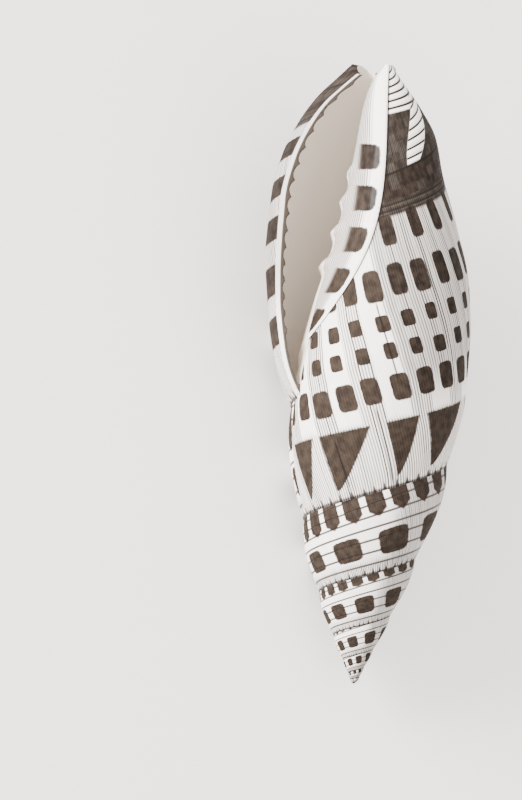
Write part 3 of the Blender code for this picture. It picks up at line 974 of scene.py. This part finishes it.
# painted shade on the right of the spire: more threads and a grey wash
turned = (growth + 0.078).fract()
shaded = turned.step(0.29, 0.35) * turned.step(0.62, 0.54)
threads = threads + thread * across_whorl.step(5.0, 2.0).max(shaded * 0.9) * spire
# painted shade: a grey wash over the right side of the last whorl and of the spire
painted_shade_wash = (painted_shade_side * last_whorl).max(shaded * spire) * 0.45
strong = 0.0
for at, begins, ends in STRONG_LINES:
    mark = (line + wander * 0.3 - at).abs().step(0.0022, 0.0008)
    strong = (mark * distance.step(begins, begins + 2.0) * distance.step(ends, ends - 2.0)).max(strong)
strong = strong * last_whorl
ticks = (wrinkle_wave(growth, distance) + distance * 0.35).step(-0.30, -0.60) * distance.step(3.0, 1.8)
suture = distance.step(0.75, 0.25)
groove = ((across_whorl - 2.5) * (TURN / GROOVE_SPACING)).cos().step(0.76, 0.94) * spire
print("threads a turn:", THREADS, "and strong lines:", len(STRONG_LINES))

# %% [markdown]
# ## Putting the paint together
# Pigment is laid on in layers: first the lines on the pale ground, then the dark front, then the blotches.
# The ground is a little uneven. The inside is plain, pale and glossy, as the animal's smooth lining leaves
# it. The lip's edge and the teeth on it are painted dark brown, a painted shadow along the scalloped edge.

# %% Colours
def colour(red, green, blue):
    """A colour from its usual values of 0 to 255."""
    return (*(((value / 255 + 0.055) / 1.055) ** 2.4 for value in (red, green, blue)), 1.0)


def blend(amount, first, second):
    return origin.make("ShaderNodeMix", {"data_type": "RGBA"}, {0: amount, 6: first, 7: second}, output=2)


PALE = colour(243, 236, 230)
PALE_WARM = colour(232, 221, 210)
THREAD_BROWN = colour(44, 37, 32)
BLOTCH_LIGHT = colour(54, 45, 38)
BLOTCH_DEEP = colour(26, 21, 18)
LINING = colour(238, 229, 218)
# colour of the painted shadow along the lip's scalloped edge
LIP_EDGE_SHADOW_BROWN = colour(58, 48, 40)
print("pale ground", [round(value, 2) for value in PALE[:3]])

# %% Layers of colour
mottle = origin.noise(line * 60.0, distance * 0.35, 6.0, detail=4.0)
ground = blend(mottle.step(0.35, 0.75) * 0.6, PALE, PALE_WARM)
open_ground = (1.0 - glazed) * (1.0 - pale_end * on_last) * (1.0 - ridge_highlight * on_last)
# the glaze's grey and hatch lines and the wash are painted shade
fine = (threads.max(painted_shade_wash) * open_ground * 0.97).max(glaze_shade_lines * 0.85).max(groove * 0.95)
fine = fine.max(ticks * open_ground * 0.95).max(end_lines * on_last * (1.0 - glazed)).max(glaze_painted_shade * 0.4)
paint = blend(fine, ground, THREAD_BROWN)
deep = origin.noise(line * 75.0, distance * 0.6, 11.0, detail=3.0).step(0.3, 0.7)
# blotches are darker in the painted shade of the right side
pigment = blend(deep * 0.6 + thread * 0.2 + painted_shade_side * 0.3, BLOTCH_LIGHT, BLOTCH_DEEP)
marks = blotch * (1.0 - lip_column) + lip_blotch * lip_column
marks = marks.max(dark_front * darkness) * (1.0 - glazed)
marks = marks.max(glaze_blotch) * (1.0 - lip_edge)
dark_lines = strong.max(suture).max(crease).max((cord_lines * 0.9).max(border) * (1.0 - glazed))
paint = blend(marks, paint, pigment)
paint = blend(dark_lines * (1.0 - lip_edge) * 0.9, paint, BLOTCH_DEEP)
# painted shadow on the teeth inside the lip and on the lip's edge face
teeth_painted_shadow = growth.step(-0.022, -0.004) * (which_side - 1.0).max(0.0)
paint = blend(side, paint, blend(teeth_painted_shadow, LINING, LIP_EDGE_SHADOW_BROWN))
painted_edge_shadow = growth.step(-0.0012, -0.0004) * (1.0 - side)
paint = blend(painted_edge_shadow * 0.96, paint, LIP_EDGE_SHADOW_BROWN)
print("the colour is made by", len(paint_tree.nodes), "nodes")

# %% [markdown]
# The fine grooves and cords are too small for the mesh, so they are a bump in mm. The glaze and the lining
# are the glossiest places, and pigment dulls the gloss, so that the dark marks stay dark under the light.

# %% Bump, gloss and shader
grain = origin.noise(line * 260.0, distance * 1.2, 13.0, detail=3.0) - 0.5
bump_height = groove * -0.14 + cord_wave * cord_zone * -0.09 + thread * -0.025 + suture * -0.12
bump_height = bump_height + (oblique * pale_end + steep * ridge_highlight) * on_last * -0.06 + grain * 0.03
bump_height = bump_height * (1.0 - side) * (1.0 - glazed * 0.7)
bump = origin.make("ShaderNodeBump", {}, {"Height": bump_height, "Distance": MM, "Strength": 1.0})
gloss = glazed.max(side)
roughness = marks * 0.36 + 0.36 - gloss * 0.12
coat = gloss * 0.06
surface = {"Base Color": paint, "Roughness": roughness, "Coat Weight": coat, "Normal": bump}
plain = {"Coat Roughness": 0.12, "Specular IOR Level": 0.04}
shader = origin.make("ShaderNodeBsdfPrincipled", {}, {**surface, **plain})
origin.make("ShaderNodeOutputMaterial", {}, {"Surface": shader}, output=None)
print("the paint has", len(paint_tree.nodes), "nodes")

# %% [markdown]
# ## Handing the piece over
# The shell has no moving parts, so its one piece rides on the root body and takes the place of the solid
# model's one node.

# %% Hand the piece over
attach(shell, "root")
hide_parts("shell")
print("one piece rides on the root")

# %% [markdown]
# ## The studio
# A pale floor, one large soft light from the upper left, and a pale sky to fill the shadows. A bright sky
# keeps the shadow on the floor faint, and the light from one side still shows how round the whorls are.

# %% The floor
FLOOR_HALF = 3.0
floor_mesh = bpy.data.meshes.new("floor")
corner_signs = ((-1, -1), (1, -1), (1, 1), (-1, 1))
corners = [(x * FLOOR_HALF, y * FLOOR_HALF, 0) for x, y in corner_signs]
floor_mesh.from_pydata(corners, [], [(0, 1, 2, 3)])
floor = bpy.data.objects.new("floor", floor_mesh)
bpy.context.scene.collection.objects.link(floor)
floor_material = bpy.data.materials.new("floor")
floor_material.use_nodes = True
floor_shader = floor_material.node_tree.nodes["Principled BSDF"]
floor_shader.inputs["Base Color"].default_value = colour(252, 247, 244)
floor_shader.inputs["Roughness"].default_value = 0.9
floor_mesh.materials.append(floor_material)
print("floor of", 2 * FLOOR_HALF, "m")

# %% The light and the sky
LIGHT_FROM = Vector((-0.68, 0.38, 0.63))  # in the photograph's own axes
LIGHT_DISTANCE = 1.4
LIGHT_SIZE = 0.75
LIGHT_WATTS = 100.0
SKY_COLOUR = (1.0, 0.98, 0.97, 1.0)
SKY_STRENGTH = 2.5
light_data = bpy.data.lights.new("key", "AREA")
light_data.shape = "DISK"
light_data.size = LIGHT_SIZE
light_data.energy = LIGHT_WATTS
light = bpy.data.objects.new("key", light_data)
toward = (placement.to_3x3() @ LIGHT_FROM).normalized()
middle = placement @ Vector((0, 55 * MM, 0))
light.location = middle + toward * LIGHT_DISTANCE
light.rotation_euler = toward.to_track_quat("Z", "Y").to_euler()
bpy.context.scene.collection.objects.link(light)
world = bpy.data.worlds.new("studio")
world.use_nodes = True
sky = world.node_tree.nodes["Background"]
sky.inputs["Color"].default_value = SKY_COLOUR
sky.inputs["Strength"].default_value = SKY_STRENGTH
bpy.context.scene.world = world
print("light stands", round(light.location.z, 2), "m above the floor")

# %% [markdown]
# ## The camera
# The camera looks straight at the opening, square to the shell's axis. So its directions are given in the
# axes of the unturned shell, and the shell's own placement carries them along. A long lens from far off
# keeps the outline as flat as a drawing's.

# %% The camera
PHOTO_ANGLE = math.radians(4.3)
AIM = Vector((-20.2 * MM, 49.1 * MM, 0))
CAMERA_DISTANCE = 1.2
FRAME_HEIGHT = 141.7 * MM
right = Vector((math.cos(PHOTO_ANGLE), math.sin(PHOTO_ANGLE), 0))
up = Vector((-math.sin(PHOTO_ANGLE), math.cos(PHOTO_ANGLE), 0))
back = Vector((0, 0, 1))
own = Matrix((right, up, back)).transposed().to_4x4()
own.translation = AIM + back * CAMERA_DISTANCE
camera_data = bpy.data.cameras.new("camera")
camera_data.sensor_fit = "VERTICAL"
camera_data.sensor_height = 36
camera_data.lens = 36 * CAMERA_DISTANCE / FRAME_HEIGHT
camera_data.clip_start = 0.01
camera = bpy.data.objects.new("camera", camera_data)
camera.matrix_world = placement @ own
bpy.context.scene.collection.objects.link(camera)
bpy.context.scene.camera = camera
print("camera at", [round(v, 3) for v in camera.matrix_world.translation])

# %% [markdown]
